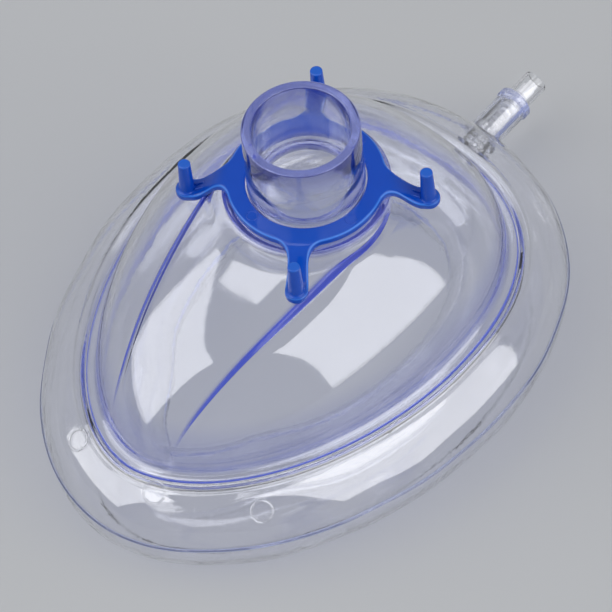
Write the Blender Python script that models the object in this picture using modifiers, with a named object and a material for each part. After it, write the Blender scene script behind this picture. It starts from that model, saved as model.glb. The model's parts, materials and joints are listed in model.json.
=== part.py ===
"""Clear resuscitation face mask: rigid shell, inflated cushion, hook ring and inflation valve.

Metres, +Z up. Everything is laid out from the connector axis, with +Y towards the chin and the
valve, and the resting plane of the cushion at Z = 0. One empty then moves the whole mask so that
its bounding box is centred over the origin.
"""
import math

import bmesh
import bpy
from mathutils import Vector

# Fit between pieces that touch or slide
CLEARANCE = 0.0003

# Cushion: reaches are from the connector axis to its outer surface
CUSHION_NOSE = 0.0769
CUSHION_CHIN = 0.0585
CUSHION_HALF_WIDTH = 0.0528
CUSHION_WIDEST_Y = -0.0028
CUSHION_NOSE_POWER = 1.84
CUSHION_CHIN_POWER = 2.25
CUSHION_RADIUS = 0.0135
CUSHION_LAND_DEPTH = 0.0006
CUSHION_FILM = 0.0008

# Shell flange and dome: the cushion stands out past the flange by these amounts
STAND_OUT_NOSE = 0.0107
STAND_OUT_CHIN = 0.0136
STAND_OUT_SIDE = 0.0108
FLANGE_WIDEST_Y = -0.0018
FLANGE_NOSE_POWER = 1.83
FLANGE_CHIN_POWER = 2.42
FLANGE_SINK = 0.0024
FLANGE_THICKNESS = 0.0015
FLANGE_LEDGE = 0.0023
FLANGE_EDGE_ROUND = 0.0004
DOME_WALL = 0.0016
DOME_FOOT_FILLET = 0.0009
DOME_LINEAR_SHARE = 0.3
DOME_ROUND_POWER = 2.6
CROWN_RADIUS = 0.0190
CROWN_DROP = 0.0050

# Raised nose panel between two creases that run from the crown to the nose
PANEL_RAISE = 0.0017
PANEL_FADE_POWER = 1.2
CREASE_CROWN_HALF = 0.0202
CREASE_NOSE_HALF = 0.0095
CREASE_BEND_POWER = 1.7
CREASE_RAMP = 0.0009

# Female connector, 22 mm conical
CONNECTOR_HEIGHT = 0.0181
CONNECTOR_RADIUS = 0.0133
CONNECTOR_MOUTH_RADIUS = 0.01119
CONNECTOR_TAPER = 1.0 / 80.0
CONNECTOR_DEPTH = 0.0190
CONNECTOR_RIM_ROUND = 0.0004
CONNECTOR_STOP_RADIUS = 0.0098
CONNECTOR_STOP_THICKNESS = 0.0022

# Hook ring
RING_ABOVE_FLANGE = 0.0355
RING_THICKNESS = 0.0020
RING_OUTER_RADIUS = 0.01784
RING_EDGE_ROUND = 0.0003
HOOK_COUNT = 4
HOOK_TURN = math.radians(34.0)
ARM_HALF_WIDTH = 0.0023
ARM_ROOT_FILLET = 0.0045
ARM_DROP = 0.0052
ARM_LEAD = 0.00116
ARM_TIP_RADIUS = 0.0026
ARM_EDGE_ROUND = 0.0003
POST_CIRCLE_RADIUS = 0.0270
POST_TOP_RADIUS = 0.00135
POST_BASE_RADIUS = 0.00155
POST_HEIGHT = 0.0088
POST_TOP_ROUND = 0.0003

# Inflation neck of the cushion and the check valve in it
NECK_LENGTH = 0.0125
VALVE_STAND_OUT = 0.0073
NECK_WALL = 0.0006
NECK_FLARE = 0.0004
NECK_FLARE_LENGTH = 0.0016
HOUSING_RADIUS = 0.00295
LUER_MOUTH_RADIUS = 0.00215
LUER_ROOT_RADIUS = 0.0020
SEAT_BORE_RADIUS = 0.0013
SEAT_THICKNESS = 0.0012
CHAMBER_RADIUS = 0.00245
SPRING_LENGTH = 0.0080
SPRING_RADIUS = 0.0016
SPRING_WIRE_RADIUS = 0.00022
SPRING_TURNS = 6
PLUNGER_RECESS = 0.0013
PLUNGER_HEAD_RADIUS = 0.0016
PLUNGER_HEAD_LENGTH = 0.0045
PLUNGER_STEM_RADIUS = 0.00075
PLUNGER_FOOT_RADIUS = 0.0014
PLUNGER_FOOT_THICKNESS = 0.0008
PLUNGER_TRAVEL = 0.0020
SEAL_THICKNESS = 0.0010
RETAINER_PLUG_LENGTH = 0.0018
RETAINER_CAP_THICKNESS = 0.0010
RETAINER_VENT_RADIUS = 0.0008

# Facets and solving
FLANK_STEPS = 20
PANEL_STEPS = 10
DOME_STEPS = 10
BORE_STEPS = 3
CUSHION_COLUMNS = 60
CAVITY_COLUMNS = 48
OUTER_ARC_STEPS = 8
INNER_ARC_STEPS = 7
ARM_SECTIONS = 14
TURNED_STEPS = 24
RING_STEPS = 56
POST_STEPS = 16
SPRING_POINTS_PER_TURN = 12
SMOOTH_ANGLE = math.radians(35.0)
MERGE_DISTANCE = 0.00001
HALVINGS = 30
SIDE_TURN = math.radians(95.0)
ARC_MIDDLE_SHARE = 1 - math.sqrt(0.5)
TIP_END_SHARE = 0.97

# Heights and places worked out from the sizes
NECK_END = CUSHION_CHIN + NECK_LENGTH
VALVE_TIP = NECK_END + VALVE_STAND_OUT
AXIS_Y = (CUSHION_NOSE - VALVE_TIP) / 2
CUSHION_CENTRE_Z = CUSHION_RADIUS - CUSHION_LAND_DEPTH
FLANGE_NOSE = CUSHION_NOSE - STAND_OUT_NOSE
FLANGE_CHIN = CUSHION_CHIN - STAND_OUT_CHIN
FLANGE_HALF_WIDTH = CUSHION_HALF_WIDTH - STAND_OUT_SIDE
FLANGE_UNDERSIDE = CUSHION_CENTRE_Z + CUSHION_RADIUS - FLANGE_SINK
CUSHION_SEAT_Z = FLANGE_UNDERSIDE - CLEARANCE
FLANGE_TOP_Z = FLANGE_UNDERSIDE + FLANGE_THICKNESS
DOME_FOOT_Z = FLANGE_TOP_Z + DOME_FOOT_FILLET
RING_TOP = FLANGE_TOP_Z + RING_ABOVE_FLANGE
RING_UNDERSIDE = RING_TOP - RING_THICKNESS
BOSS_TOP_Z = RING_UNDERSIDE - CLEARANCE
CROWN_EDGE_Z = BOSS_TOP_Z - CROWN_DROP
RIM_Z = RING_TOP + CONNECTOR_HEIGHT
STOP_TOP_Z = RIM_Z - CONNECTOR_DEPTH
STOP_UNDERSIDE_Z = STOP_TOP_Z - CONNECTOR_STOP_THICKNESS
SEAT_TOP = VALVE_TIP - PLUNGER_RECESS - PLUNGER_HEAD_LENGTH - PLUNGER_TRAVEL - CLEARANCE
SEAT_UNDERSIDE = SEAT_TOP - SEAT_THICKNESS
SEAL_TOP = SEAT_UNDERSIDE - CLEARANCE
FOOT_TOP = SEAL_TOP - SEAL_THICKNESS - CLEARANCE
SPRING_TOP = FOOT_TOP - PLUNGER_FOOT_THICKNESS - CLEARANCE
RETAINER_PLUG_TOP = SPRING_TOP - SPRING_LENGTH - CLEARANCE
HOUSING_END = RETAINER_PLUG_TOP - RETAINER_PLUG_LENGTH
RETAINER_CAP_TOP = HOUSING_END - CLEARANCE


def clear_scene():
    for item in list(bpy.data.objects):
        bpy.data.objects.remove(item, do_unlink=True)


def make_collection(name):
    collection = bpy.data.collections.new(name)
    bpy.context.scene.collection.children.link(collection)
    return collection


def make_material(name, colour, roughness, metallic=0.0, alpha=1.0):
    material = bpy.data.materials.new(name)
    material.use_nodes = True
    shader = material.node_tree.nodes["Principled BSDF"]
    shader.inputs["Base Color"].default_value = (*colour, 1.0)
    shader.inputs["Roughness"].default_value = roughness
    shader.inputs["Metallic"].default_value = metallic
    shader.inputs["Alpha"].default_value = alpha
    return material


def add_object(name, data, collection, parent, material=None):
    item = bpy.data.objects.new(name, data)
    collection.objects.link(item)
    item.parent = parent
    if material:
        data.materials.append(material)
    return item


def as_tool(item):
    """Mark an object as one that only joins or cuts another."""
    item.hide_render = True
    item.display_type = "WIRE"
    return item


def combine(target, tool, operation):
    modifier = target.modifiers.new(tool.name, "BOOLEAN")
    modifier.operation = operation
    modifier.solver = "EXACT"
    modifier.object = tool


def shade(item):
    item.data.shade_smooth()
    item.data.set_sharp_from_angle(angle=SMOOTH_ANGLE)


def loft(name, rows, closed_rows):
    """Skin rows of points, each row a closed loop. The rows close on themselves or get end caps."""
    mesh = bpy.data.meshes.new(name)
    builder = bmesh.new()
    grid = [[builder.verts.new(point) for point in row] for row in rows]
    pairs = list(zip(grid, grid[1:]))
    if closed_rows:
        pairs.append((grid[-1], grid[0]))
    for lower, upper in pairs:
        for index, corner in enumerate(lower):
            after = (index + 1) % len(lower)
            builder.faces.new((corner, upper[index], upper[after], lower[after]))
    if not closed_rows:
        builder.faces.new(grid[0])
        builder.faces.new(list(reversed(grid[-1])))
    builder.to_mesh(mesh)
    builder.free()
    return mesh


def turned(name, profile, closed, collection, parent, material=None, steps=TURNED_STEPS):
    """Turn a profile of (radius, height) points about the local Z axis."""
    mesh = bpy.data.meshes.new(name)
    count = len(profile)
    edges = [(index, index + 1) for index in range(count - 1)]
    if closed:
        edges.append((count - 1, 0))
    mesh.from_pydata([(radius, 0.0, height) for radius, height in profile], edges, [])
    item = add_object(name, mesh, collection, parent, material)
    screw = item.modifiers.new("Turn", "SCREW")
    screw.axis = "Z"
    screw.angle = 2 * math.pi
    screw.steps = steps
    screw.render_steps = steps
    screw.use_merge_vertices = True
    screw.merge_threshold = MERGE_DISTANCE
    screw.use_smooth_shade = True
    return item


def signed_power(value, power):
    return math.copysign(abs(value) ** power, value)


class Egg:
    """Plan outline about the connector axis: one rounded end towards the chin, one to the nose."""

    def __init__(self, nose, chin, half_width, widest_y, nose_power, chin_power):
        self.nose_length = nose + widest_y
        self.chin_length = chin - widest_y
        self.half_width = half_width
        self.widest_y = widest_y
        self.nose_power = nose_power
        self.chin_power = chin_power

    def end(self, towards_chin):
        if towards_chin:
            return self.chin_length, self.chin_power
        return self.nose_length, self.nose_power

    def point(self, turn):
        length, power = self.end(math.cos(turn) >= 0)
        x = self.half_width * signed_power(math.sin(turn), 2 / power)
        y = self.widest_y + length * signed_power(math.cos(turn), 2 / power)
        return Vector((x, y, 0))

    def normal(self, turn):
        small = 0.02
        along = self.point(turn + small) - self.point(turn - small)
        return Vector((-along.y, along.x, 0)).normalized()

    def inside(self, point):
        length, power = self.end(point.y >= self.widest_y)
        across = abs(point.x) / self.half_width
        lengthwise = abs(point.y - self.widest_y) / length
        return across ** power + lengthwise ** power < 1

    def reach(self, start, direction):
        """Signed distance from a point to this outline along a direction that leads outwards."""
        near = -CUSHION_RADIUS
        far = CUSHION_RADIUS
        for _ in range(HALVINGS):
            middle = (near + far) / 2
            if self.inside(start + direction * middle):
                near = middle
            else:
                far = middle
        return near


def flange_outline():
    return Egg(
        FLANGE_NOSE,
        FLANGE_CHIN,
        FLANGE_HALF_WIDTH,
        FLANGE_WIDEST_Y,
        FLANGE_NOSE_POWER,
        FLANGE_CHIN_POWER,
    )


def cushion_spine():
    return Egg(
        CUSHION_NOSE - CUSHION_RADIUS,
        CUSHION_CHIN - CUSHION_RADIUS,
        CUSHION_HALF_WIDTH - CUSHION_RADIUS,
        CUSHION_WIDEST_Y,
        CUSHION_NOSE_POWER,
        CUSHION_CHIN_POWER,
    )


def circle_point(radius, turn, height):
    return Vector((radius * math.sin(turn), radius * math.cos(turn), height))


def raised_to(point, height):
    return Vector((point.x, point.y, height))


class Dome:
    """Surface from the round crown, at share 0, down to the egg-shaped foot, at share 1."""

    def __init__(self):
        self.flange = flange_outline()

    def flange_point(self, turn, inset):
        return self.flange.point(turn) - self.flange.normal(turn) * inset

    def skin(self, share, turn):
        share = min(max(share, 0.0), 1.0)
        crown = circle_point(CROWN_RADIUS, turn, 0)
        foot = self.flange_point(turn, FLANGE_LEDGE)
        round_part = 1 - math.sqrt(max(0.0, 1 - share ** DOME_ROUND_POWER))
        drop = DOME_LINEAR_SHARE * share + (1 - DOME_LINEAR_SHARE) * round_part
        height = CROWN_EDGE_Z + (DOME_FOOT_Z - CROWN_EDGE_Z) * drop
        return raised_to(crown.lerp(foot, share), height)

    def inner_skin(self, share, turn):
        small = 0.01
        down = self.skin(share + small, turn) - self.skin(share - small, turn)
        around = self.skin(share, turn + small) - self.skin(share, turn - small)
        outward = around.cross(down).normalized()
        if share == 1.0:
            outward = raised_to(outward, 0).normalized()
        return self.skin(share, turn) - outward * DOME_WALL

    def crease_turn(self, share):
        """Turn at which a row of the dome meets the crease, between the side and the nose."""
        side = SIDE_TURN
        nose = math.pi
        for _ in range(HALVINGS):
            middle = (side + nose) / 2
            point = self.skin(share, middle)
            fade = (max(0.0, -point.y) / FLANGE_NOSE) ** CREASE_BEND_POWER
            half = CREASE_CROWN_HALF + (CREASE_NOSE_HALF - CREASE_CROWN_HALF) * fade
            if point.x > half:
                side = middle
            else:
                nose = middle
        return (side + nose) / 2

    def turns(self, share):
        """Turns of one row, and for each whether it lies on the raised panel."""
        crease = self.crease_turn(share)
        half_ramp = CREASE_RAMP / 2 / self.skin(share, crease).to_2d().length
        flank_end = crease - half_ramp
        panel_start = crease + half_ramp
        flank = [flank_end * step / FLANK_STEPS for step in range(FLANK_STEPS + 1)]
        panel_width = math.pi - panel_start
        panel = [panel_start + panel_width * step / PANEL_STEPS for step in range(PANEL_STEPS + 1)]
        half = [(turn, False) for turn in flank] + [(turn, True) for turn in panel]
        other = [(2 * math.pi - turn, on_panel) for turn, on_panel in reversed(half[1:-1])]
        return half + other


def dome_shares():
    """Shares of the rows from foot to crown, closer together at the foot."""
    return [math.sin(math.pi / 2 * step / DOME_STEPS) for step in range(DOME_STEPS, -1, -1)]


def shell_rows():
    dome = Dome()
    foot_turns = [turn for turn, _ in dome.turns(1.0)]

    def flange_row(inset, height):
        return [raised_to(dome.flange_point(turn, inset), height) for turn in foot_turns]

    def circle_row(radius, height, turns):
        return [circle_point(radius, turn, height) for turn in turns]

    fillet = DOME_FOOT_FILLET
    fillet_middle = fillet * ARC_MIDDLE_SHARE
    rows = [
        flange_row(0, FLANGE_UNDERSIDE),
        flange_row(0, FLANGE_TOP_Z - FLANGE_EDGE_ROUND),
        flange_row(FLANGE_EDGE_ROUND, FLANGE_TOP_Z),
        flange_row(FLANGE_LEDGE - fillet, FLANGE_TOP_Z),
        flange_row(FLANGE_LEDGE - fillet_middle, FLANGE_TOP_Z + fillet_middle),
    ]
    for share in dome_shares():
        lift = PANEL_RAISE * (1 - share) ** PANEL_FADE_POWER
        row = []
        for turn, on_panel in dome.turns(share):
            point = dome.skin(share, turn)
            point.z += lift * on_panel
            row.append(point)
        rows.append(row)

    crown_turns = [turn for turn, _ in dome.turns(0.0)]
    even_turns = [2 * math.pi * step / len(crown_turns) for step in range(len(crown_turns))]
    boss_round = CONNECTOR_RIM_ROUND
    rows.append(circle_row(CROWN_RADIUS, BOSS_TOP_Z - boss_round, crown_turns))
    rows.append(circle_row(CROWN_RADIUS - boss_round, BOSS_TOP_Z, crown_turns))
    rows.append(circle_row(CONNECTOR_RADIUS, BOSS_TOP_Z, even_turns))
    rows.append(circle_row(CONNECTOR_RADIUS, RIM_Z - CONNECTOR_RIM_ROUND, even_turns))
    rows.append(circle_row(CONNECTOR_RADIUS - CONNECTOR_RIM_ROUND, RIM_Z, even_turns))
    rows.append(circle_row(CONNECTOR_MOUTH_RADIUS + CONNECTOR_RIM_ROUND, RIM_Z, even_turns))
    for step in range(BORE_STEPS + 1):
        depth = CONNECTOR_RIM_ROUND + (CONNECTOR_DEPTH - CONNECTOR_RIM_ROUND) * step / BORE_STEPS
        radius = CONNECTOR_MOUTH_RADIUS - CONNECTOR_TAPER * depth
        rows.append(circle_row(radius, RIM_Z - depth, even_turns))
    rows.append(circle_row(CONNECTOR_STOP_RADIUS, STOP_TOP_Z, even_turns))
    rows.append(circle_row(CONNECTOR_STOP_RADIUS, STOP_UNDERSIDE_Z, even_turns))

    pocket_radius = CROWN_RADIUS - DOME_WALL
    pocket_top = BOSS_TOP_Z - DOME_WALL
    rows.append(circle_row(pocket_radius - DOME_WALL / 2, pocket_top, crown_turns))
    rows.append(circle_row(pocket_radius, pocket_top - DOME_WALL / 2, crown_turns))
    for share in reversed(dome_shares()):
        rows.append([dome.inner_skin(share, turn) for turn, _ in dome.turns(share)])
    rows.append([raised_to(point, FLANGE_UNDERSIDE) for point in rows[-1]])
    return rows


def make_shell(collection, parent):
    material = make_material("clear_rigid", (0.80, 0.86, 0.97), 0.05, alpha=0.35)
    mesh = loft("shell", shell_rows(), closed_rows=True)
    shade(add_object("shell", mesh, collection, parent, material))


def cushion_section(radius, floor, seat, step):
    """Round tube section with a flat land below and a flat seat above, as (offset, height)."""
    bottom = math.asin((CUSHION_CENTRE_Z - floor) / radius)
    shoulder = math.asin((seat - CUSHION_CENTRE_Z) / radius)
    start = math.acos(step / radius)
    points = [(step, seat)]
    for index in range(OUTER_ARC_STEPS + 1):
        angle = start + (-bottom - start) * index / OUTER_ARC_STEPS
        points.append((radius * math.cos(angle), CUSHION_CENTRE_Z + radius * math.sin(angle)))
    first = bottom - math.pi
    last = -math.pi - shoulder
    for index in range(INNER_ARC_STEPS + 1):
        angle = first + (last - first) * index / INNER_ARC_STEPS
        points.append((radius * math.cos(angle), CUSHION_CENTRE_Z + radius * math.sin(angle)))
    return points


def cushion_rows(columns, film):
    """Sections along the spine. The seat's outer step follows the edge of the flange."""
    spine = cushion_spine()
    flange = flange_outline()
    rows = []
    for column in range(columns):
        turn = 2 * math.pi * column / columns
        centre = spine.point(turn)
        outward = spine.normal(turn)
        step = flange.reach(centre, outward) + CLEARANCE + film
        section = cushion_section(CUSHION_RADIUS - film, film, CUSHION_SEAT_Z - film, step)
        rows.append([raised_to(centre + outward * offset, height) for offset, height in section])
    return rows


def make_cushion(collection, tools, parent):
    material = make_material("clear_soft", (0.86, 0.88, 0.95), 0.12, alpha=0.35)
    mesh = loft("air_cushion", cushion_rows(CUSHION_COLUMNS, 0.0), closed_rows=True)
    cushion = add_object("air_cushion", mesh, collection, parent, material)

    bore = HOUSING_RADIUS + CLEARANCE
    outer = bore + NECK_WALL
    flare = outer + NECK_FLARE
    wall_middle = CUSHION_CHIN - CUSHION_FILM / 2
    neck_profile = [
        (0, NECK_END),
        (flare, NECK_END),
        (flare, NECK_END - NECK_FLARE_LENGTH),
        (outer, NECK_END - NECK_FLARE_LENGTH - NECK_FLARE),
        (outer, wall_middle),
        (0, wall_middle),
    ]
    bore_profile = [
        (0, NECK_END + outer),
        (bore, NECK_END + outer),
        (bore, CUSHION_CHIN - CUSHION_RADIUS / 2),
        (0, CUSHION_CHIN - CUSHION_RADIUS / 2),
    ]
    neck = as_tool(turned("inflation_neck", neck_profile, False, tools, parent))
    neck_bore = as_tool(turned("inflation_bore", bore_profile, False, tools, parent))
    for tool in (neck, neck_bore):
        lay_along_valve(tool)
    cavity_mesh = loft("cushion_cavity", cushion_rows(CAVITY_COLUMNS, CUSHION_FILM), closed_rows=True)
    cavity = as_tool(add_object("cushion_cavity", cavity_mesh, tools, parent))
    combine(cushion, neck, "UNION")
    combine(cushion, cavity, "DIFFERENCE")
    combine(cushion, neck_bore, "DIFFERENCE")
    shade(cushion)


def arm_half_width(along):
    """Half width of a hook's arm at a distance from the connector axis."""
    root = math.sqrt(RING_OUTER_RADIUS ** 2 - (ARM_HALF_WIDTH + ARM_ROOT_FILLET) ** 2)
    past_root = min(max(along - root, 0.0), ARM_ROOT_FILLET)
    fillet = math.sqrt(ARM_ROOT_FILLET ** 2 - (ARM_ROOT_FILLET - past_root) ** 2)
    width = ARM_HALF_WIDTH + ARM_ROOT_FILLET - fillet
    past_post = along - POST_CIRCLE_RADIUS
    if past_post > 0:
        return math.sqrt(max(0.0, ARM_TIP_RADIUS ** 2 - past_post ** 2))
    swell = min(max(1 + past_post / (2 * ARM_TIP_RADIUS), 0.0), 1.0)
    return width + (ARM_TIP_RADIUS - ARM_HALF_WIDTH) * swell * swell * (3 - 2 * swell)


def arm_top(along):
    """Height of an arm's upper face: a soft S from the edge of the boss down to the post."""
    start = CROWN_RADIUS - ARM_LEAD
    end = POST_CIRCLE_RADIUS - ARM_TIP_RADIUS / 2
    share = min(max((along - start) / (end - start), 0.0), 1.0)
    return RING_TOP - ARM_DROP * share * share * (3 - 2 * share)


def arm_rows():
    root = CONNECTOR_RADIUS + CLEARANCE + RING_EDGE_ROUND + CLEARANCE
    tip = POST_CIRCLE_RADIUS + ARM_TIP_RADIUS * TIP_END_SHARE
    rows = []
    for index in range(ARM_SECTIONS + 1):
        along = root + (tip - root) * math.sin(math.pi / 2 * index / ARM_SECTIONS)
        half = arm_half_width(along)
        top = arm_top(along)
        bottom = top - RING_THICKNESS
        edge = min(ARM_EDGE_ROUND, half / 2)
        side = [
            (half - edge, top),
            (half, top - edge),
            (half, bottom + edge),
            (half - edge, bottom),
        ]
        section = side + [(-across, height) for across, height in reversed(side)]
        rows.append([Vector((along, across, height)) for across, height in section])
    return rows


def make_hook_ring(collection, tools, parent):
    material = make_material("blue_ring", (0.02, 0.16, 0.78), 0.3)
    inner = CONNECTOR_RADIUS + CLEARANCE
    outer = RING_OUTER_RADIUS
    edge = RING_EDGE_ROUND
    profile = [
        (inner + edge, RING_TOP),
        (outer - edge, RING_TOP),
        (outer, RING_TOP - edge),
        (outer, RING_UNDERSIDE + edge),
        (outer - edge, RING_UNDERSIDE),
        (inner + edge, RING_UNDERSIDE),
        (inner, RING_UNDERSIDE + edge),
        (inner, RING_TOP - edge),
    ]
    ring = turned("hook_ring", profile, True, collection, parent, material, RING_STEPS)
    foot = arm_top(POST_CIRCLE_RADIUS) - RING_THICKNESS / 2
    head = arm_top(POST_CIRCLE_RADIUS) + POST_HEIGHT
    post_profile = [
        (0, head),
        (POST_TOP_RADIUS - POST_TOP_ROUND, head),
        (POST_TOP_RADIUS, head - POST_TOP_ROUND),
        (POST_BASE_RADIUS, foot),
        (0, foot),
    ]
    arm_mesh = loft("hook_arm", arm_rows(), closed_rows=False)
    for index in range(HOOK_COUNT):
        turn = HOOK_TURN + 2 * math.pi * index / HOOK_COUNT
        arm = as_tool(add_object(f"hook_arm_{index}", arm_mesh, tools, parent))
        arm.rotation_euler.z = turn
        post_name = f"hook_post_{index}"
        post = as_tool(turned(post_name, post_profile, False, tools, parent, steps=POST_STEPS))
        post.location.x = POST_CIRCLE_RADIUS * math.cos(turn)
        post.location.y = POST_CIRCLE_RADIUS * math.sin(turn)
        combine(ring, arm, "UNION")
        combine(ring, post, "UNION")


def lay_along_valve(item):
    """Turn a piece so that its local Z runs along the valve, towards the tip."""
    item.rotation_euler.x = -math.pi / 2
    item.location.z = CUSHION_CENTRE_Z


def make_valve(collection, parent):
    clear = make_material("clear_valve", (0.90, 0.92, 0.96), 0.08, alpha=0.4)
    white = make_material("white_plunger", (0.93, 0.93, 0.93), 0.4)
    soft = make_material("grey_seal", (0.75, 0.76, 0.78), 0.6)
    steel = make_material("spring_steel", (0.62, 0.62, 0.64), 0.3, metallic=1.0)
    housing_profile = [
        (LUER_MOUTH_RADIUS, VALVE_TIP),
        (HOUSING_RADIUS, VALVE_TIP),
        (HOUSING_RADIUS, HOUSING_END),
        (CHAMBER_RADIUS, HOUSING_END),
        (CHAMBER_RADIUS, SEAT_UNDERSIDE),
        (SEAT_BORE_RADIUS, SEAT_UNDERSIDE),
        (SEAT_BORE_RADIUS, SEAT_TOP),
        (LUER_ROOT_RADIUS, SEAT_TOP),
    ]
    head_top = VALVE_TIP - PLUNGER_RECESS
    head_end = head_top - PLUNGER_HEAD_LENGTH
    plunger_profile = [
        (0, head_top),
        (PLUNGER_HEAD_RADIUS, head_top),
        (PLUNGER_HEAD_RADIUS, head_end),
        (PLUNGER_STEM_RADIUS, head_end),
        (PLUNGER_STEM_RADIUS, FOOT_TOP),
        (PLUNGER_FOOT_RADIUS, FOOT_TOP),
        (PLUNGER_FOOT_RADIUS, FOOT_TOP - PLUNGER_FOOT_THICKNESS),
        (0, FOOT_TOP - PLUNGER_FOOT_THICKNESS),
    ]
    seal_hole = PLUNGER_STEM_RADIUS + CLEARANCE
    seal_radius = CHAMBER_RADIUS - CLEARANCE
    seal_profile = [
        (seal_hole, SEAL_TOP),
        (seal_radius, SEAL_TOP),
        (seal_radius, SEAL_TOP - SEAL_THICKNESS),
        (seal_hole, SEAL_TOP - SEAL_THICKNESS),
    ]
    plug_radius = CHAMBER_RADIUS - CLEARANCE
    cap_end = RETAINER_CAP_TOP - RETAINER_CAP_THICKNESS
    retainer_profile = [
        (RETAINER_VENT_RADIUS, RETAINER_PLUG_TOP),
        (plug_radius, RETAINER_PLUG_TOP),
        (plug_radius, RETAINER_CAP_TOP),
        (HOUSING_RADIUS, RETAINER_CAP_TOP),
        (HOUSING_RADIUS, cap_end),
        (RETAINER_VENT_RADIUS, cap_end),
    ]
    pieces = [
        turned("valve_housing", housing_profile, True, collection, parent, clear),
        turned("valve_plunger", plunger_profile, False, collection, parent, white),
        turned("valve_seal", seal_profile, True, collection, parent, soft),
        turned("valve_retainer", retainer_profile, True, collection, parent, clear),
        make_spring(collection, parent, steel),
    ]
    for piece in pieces:
        lay_along_valve(piece)


def make_spring(collection, parent, material):
    curve = bpy.data.curves.new("valve_spring", "CURVE")
    curve.dimensions = "3D"
    curve.bevel_depth = SPRING_WIRE_RADIUS
    curve.bevel_resolution = 1
    curve.use_fill_caps = True
    count = SPRING_TURNS * SPRING_POINTS_PER_TURN
    rise = SPRING_LENGTH - 2 * SPRING_WIRE_RADIUS
    low = SPRING_TOP - SPRING_LENGTH + SPRING_WIRE_RADIUS
    spline = curve.splines.new("POLY")
    spline.points.add(count)
    for index, point in enumerate(spline.points):
        turn = 2 * math.pi * index / SPRING_POINTS_PER_TURN
        x = SPRING_RADIUS * math.cos(turn)
        y = SPRING_RADIUS * math.sin(turn)
        point.co = (x, y, low + rise * index / count, 1)
    return add_object("valve_spring", curve, collection, parent, material)


def main():
    clear_scene()
    parts = make_collection("resuscitation_face_mask")
    tools = make_collection("joining_and_cutting")
    frame = bpy.data.objects.new("connector_axis", None)
    parts.objects.link(frame)
    frame.location = (0, AXIS_Y, 0)
    make_shell(parts, frame)
    make_cushion(parts, tools, frame)
    make_hook_ring(parts, tools, frame)
    make_valve(parts, frame)


main()
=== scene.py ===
"""Looks of a clear resuscitation face mask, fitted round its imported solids.

Everything is in metres. Plan places are measured from the connector's axis, with +Y towards the
chin and the inflation valve.
"""
import json
import math

import bpy
import numpy as np
from mathutils import Matrix, Vector


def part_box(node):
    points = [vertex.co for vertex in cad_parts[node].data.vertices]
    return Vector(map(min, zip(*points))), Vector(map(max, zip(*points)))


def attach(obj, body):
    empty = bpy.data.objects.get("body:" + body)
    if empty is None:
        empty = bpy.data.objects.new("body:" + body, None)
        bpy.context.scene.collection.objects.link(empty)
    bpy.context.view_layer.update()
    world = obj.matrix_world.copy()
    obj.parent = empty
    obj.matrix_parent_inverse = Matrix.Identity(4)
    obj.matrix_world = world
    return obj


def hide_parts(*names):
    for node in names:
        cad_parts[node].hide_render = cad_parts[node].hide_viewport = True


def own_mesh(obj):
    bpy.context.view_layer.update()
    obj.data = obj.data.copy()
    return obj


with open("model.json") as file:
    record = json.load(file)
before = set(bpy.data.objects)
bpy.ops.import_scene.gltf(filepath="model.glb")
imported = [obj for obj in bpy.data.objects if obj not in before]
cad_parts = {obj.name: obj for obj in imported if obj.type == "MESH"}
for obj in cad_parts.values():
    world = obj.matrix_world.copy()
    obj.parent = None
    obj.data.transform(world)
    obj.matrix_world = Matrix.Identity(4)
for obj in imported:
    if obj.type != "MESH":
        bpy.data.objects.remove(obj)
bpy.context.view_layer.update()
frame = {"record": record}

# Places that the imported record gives
mounts = {mount["name"]: mount["pos_m"] for mount in frame["record"]["mounts"]}
AXIS_Y = mounts["connector_rim"][1]
RIM_Z = mounts["connector_rim"][2]
RING_TOP = mounts["ring_top"][2]
POST_TOP = mounts["hook_post_0"][2]
VALVE_TIP = mounts["valve_mouth"][1] - AXIS_Y
VALVE_Z = mounts["valve_mouth"][2]

# Used by several pieces. POLE is the radius of the small flat that closes a turned piece
CLEARANCE = 0.0003
SOFT_EDGE = 0.0003
POLE = 0.00002

# Cushion. BEAD_SPAN, BEAD_APPROACH, UNDER_END and CREST_START are angles round its section
CUSHION_NOSE = -(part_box("air_cushion")[0].y - AXIS_Y)
CUSHION_HALF_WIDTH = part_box("air_cushion")[1].x
CUSHION_CHIN = 0.0585
CUSHION_WIDEST_Y = -0.0028
CUSHION_NOSE_POWER = 1.84
CUSHION_CHIN_POWER = 2.25
CUSHION_RADIUS = 0.0135
FILM = 0.0005
SEAT_WIDTH = 0.0046
SHOULDER_ROUND = 0.0007
BEAD_Z = 0.0142
BEAD_RISE = 0.00026
BEAD_HALF_WIDTH = 0.00028
BEAD_SPAN = 0.06
BEAD_APPROACH = 0.07
UNDER_END = 0.02
CREST_START = 0.03
GROOVE_FROM_FLANGE = 0.0022
GROOVE_DEPTH = 0.00035
GROOVE_HALF_WIDTH = 0.0005
FLASH_LENGTH = 0.0002
FLASH_BURST = 0.0010
FLASH_BURST_START = 0.55
FLASH_BURST_POWER = 1.2
FLASH_SEED = 11
FLASH_SPACING = 4
# Shares of the flash's length, and how far each point lies under the seam
FLASH_PROFILE = ((0.0, 0.00012), (0.85, 0.00008), (1.0, 0.0), (0.85, -0.00008), (0.0, -0.00012))
WAVE_RISE = 0.00011
# Waves of the film: size, count round the cushion, lean over the section and start
WAVES = ((1.0, 11, 2.1, 0.0), (0.6, 17, -3.0, 1.3))
LIP_BULGE = 0.0024
LIP_BULGE_TURN = math.radians(43.0)
LIP_BULGE_SPREAD = math.radians(14.0)
LIP_NOSE_PULL = 0.0020
MOULD_MARKS = ((0.0090, -0.0687), (-0.0141, -0.0676), (0.0302, -0.0570))
MOULD_MARK_RADIUS = 0.00245
MOULD_MARK_LINE = 0.00028

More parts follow.
